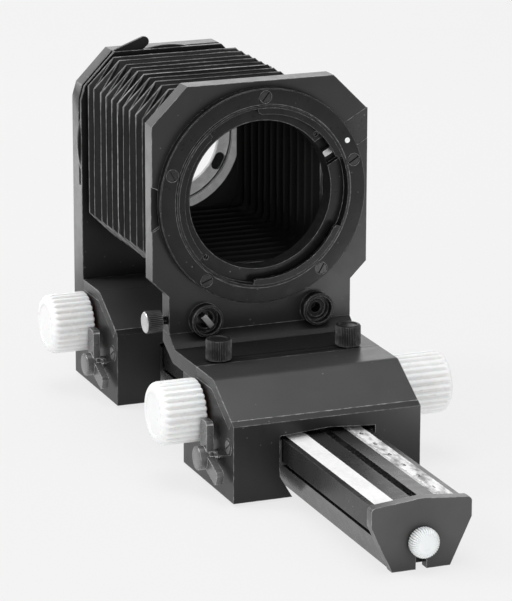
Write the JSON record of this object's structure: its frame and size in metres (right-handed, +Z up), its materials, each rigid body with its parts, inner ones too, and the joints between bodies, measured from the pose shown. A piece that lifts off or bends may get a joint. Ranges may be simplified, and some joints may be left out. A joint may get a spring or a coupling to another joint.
{
  "type": "macro bellows unit",
  "caption": "Macro bellows unit: pleated square bellows between a lens standard and a camera standard on rack-driven carriages along a scaled dovetail rail",
  "frame": {"origin": "mouth of the tripod socket, at the middle of the rail's underside", "axes": "+Z up, +Y along the rail from the lens to the camera, +X to the right seen from the lens side"},
  "size_m": [0.0913, 0.238, 0.1106],
  "materials": {
    "black_lacquer": "satin black lacquer on machined light alloy",
    "black_anodised": "black anodised, fine satin",
    "white_plastic": "glossy white moulded plastic",
    "white_strip": "matt white scale stock",
    "bright_steel": "turned, bright",
    "chrome_steel": "satin chromed",
    "guide_plastic": "low friction polymer",
    "bellows_cloth": "coated black cloth, semi-matt"
  },
  "bodies": {
    "rail": {"rail": "black_anodised", "scale_strip_plain": "white_strip", "scale_strip_numbered": "white_strip", "rack": "bright_steel", "tripod_bush": "bright_steel", "end_cap_front": "black_anodised", "end_cap_rear": "black_anodised", "bellows": "bellows_cloth"},
    "front_carriage": {"front_carriage_block": "black_lacquer", "front_carriage_cover": "black_lacquer", "front_carriage_guide_left": "guide_plastic", "front_carriage_guide_right": "guide_plastic", "lens_standard": "black_lacquer", "lens_standard_foot": "black_lacquer", "lens_mount_ring": "black_anodised", "lens_bayonet": "black_anodised", "index_bead": "white_plastic", "accessory_socket_left": "black_anodised", "accessory_socket_right": "black_anodised", "bellows_front_frame": "black_lacquer"},
    "rear_carriage": {"rear_carriage_block": "black_lacquer", "rear_carriage_cover": "black_lacquer", "rear_carriage_guide_left": "guide_plastic", "rear_carriage_guide_right": "guide_plastic", "camera_standard": "black_lacquer", "bellows_rear_frame": "black_lacquer", "frame_spacers": "bright_steel"},
    "front_drive": {"front_carriage_pinion_shaft": "bright_steel", "front_carriage_knob_left": "white_plastic", "front_carriage_knob_right": "white_plastic"},
    "rear_drive": {"rear_carriage_pinion_shaft": "bright_steel", "rear_carriage_knob_left": "white_plastic", "rear_carriage_knob_right": "white_plastic"},
    "front_clamp": {"front_carriage_clamp_lever": "black_anodised", "front_carriage_clamp_screw": "bright_steel"},
    "rear_clamp": {"rear_carriage_clamp_lever": "black_anodised", "rear_carriage_clamp_screw": "bright_steel"},
    "front_end_screw": {"end_knob_front": "white_plastic"},
    "rear_end_screw": {"end_knob_rear": "white_plastic"},
    "standard_clamp_left": {"standard_clamp_knob_left": "black_anodised"},
    "standard_clamp_right": {"standard_clamp_knob_right": "black_anodised"},
    "side_screw": {"side_thumb_screw": "bright_steel"},
    "catch": {"socket_catch": "bright_steel"},
    "lens_release": {"release_slider": "black_anodised", "latch_pin": "bright_steel"},
    "camera_mount": {"camera_ring": "black_anodised", "camera_flange": "chrome_steel"},
    "camera_clamp": {"camera_clamp_ring": "black_anodised"}
  },
  "joints": [
    {"name": "front_carriage_slide", "type": "slide", "parent": "rail", "child": "front_carriage", "axis": [0, 1, 0], "range_m": [-0.06, 0.02], "deforming": ["bellows"]},
    {"name": "rear_carriage_slide", "type": "slide", "parent": "rail", "child": "rear_carriage", "axis": [0, 1, 0], "range_m": [-0.014, 0.02], "deforming": ["bellows"]},
    {"name": "front_drive_turn", "type": "hinge", "parent": "front_carriage", "child": "front_drive", "pos_m": [0, -0.0221, 0.0202], "axis": [1, 0, 0], "range_deg": [-230, 688]},
    {"name": "rear_drive_turn", "type": "hinge", "parent": "rear_carriage", "child": "rear_drive", "pos_m": [0, 0.0766, 0.0202], "axis": [1, 0, 0], "range_deg": [-230, 161]},
    {"name": "front_clamp_turn", "type": "hinge", "parent": "front_carriage", "child": "front_clamp", "pos_m": [-0.031, -0.0354, 0.01], "axis": [1, 0, 0], "range_deg": [0, 30]},
    {"name": "rear_clamp_turn", "type": "hinge", "parent": "rear_carriage", "child": "rear_clamp", "pos_m": [-0.031, 0.0633, 0.01], "axis": [1, 0, 0], "range_deg": [0, 30]},
    {"name": "front_end_screw_turn", "type": "hinge", "parent": "rail", "child": "front_end_screw", "pos_m": [0, -0.115, 0.0073], "axis": [0, -1, 0], "range_deg": [0, 360]},
    {"name": "rear_end_screw_turn", "type": "hinge", "parent": "rail", "child": "rear_end_screw", "pos_m": [0, 0.115, 0.0073], "axis": [0, 1, 0], "range_deg": [0, 360]},
    {"name": "standard_clamp_left_turn", "type": "hinge", "parent": "front_carriage", "child": "standard_clamp_left", "pos_m": [-0.0204, -0.0159, 0.0324], "axis": [0, 0, 1], "range_deg": [0, 360]},
    {"name": "standard_clamp_right_turn", "type": "hinge", "parent": "front_carriage", "child": "standard_clamp_right", "pos_m": [0.0204, -0.0159, 0.0324], "axis": [0, 0, 1], "range_deg": [0, 360]},
    {"name": "side_screw_turn", "type": "hinge", "parent": "front_carriage", "child": "side_screw", "pos_m": [-0.03, 0.0054, 0.0394], "axis": [-1, 0, 0], "range_deg": [0, 360]},
    {"name": "catch_turn", "type": "hinge", "parent": "front_carriage", "child": "catch", "pos_m": [-0.0177, 0.005, 0.0394], "axis": [0, 1, 0], "range_deg": [0, 90]},
    {"name": "lens_release_slide", "type": "slide", "parent": "front_carriage", "child": "lens_release", "axis": [0.8729, 0, 0.4879], "range_m": [0, 0.002], "stiffness_N_per_m": 400, "springref_m": -0.002},
    {"name": "camera_mount_turn", "type": "hinge", "parent": "rear_carriage", "child": "camera_mount", "pos_m": [0, 0.085, 0.0756], "axis": [0, 1, 0], "continuous": true},
    {"name": "camera_clamp_turn", "type": "hinge", "parent": "rear_carriage", "child": "camera_clamp", "pos_m": [0, 0.0828, 0.0756], "axis": [0, 1, 0], "range_deg": [0, 35]}
  ],
  "couplings": [
    {"joint": "front_drive_turn", "follows": "front_carriage_slide", "rad_per_m": -200},
    {"joint": "rear_drive_turn", "follows": "rear_carriage_slide", "rad_per_m": -200}
  ]
}
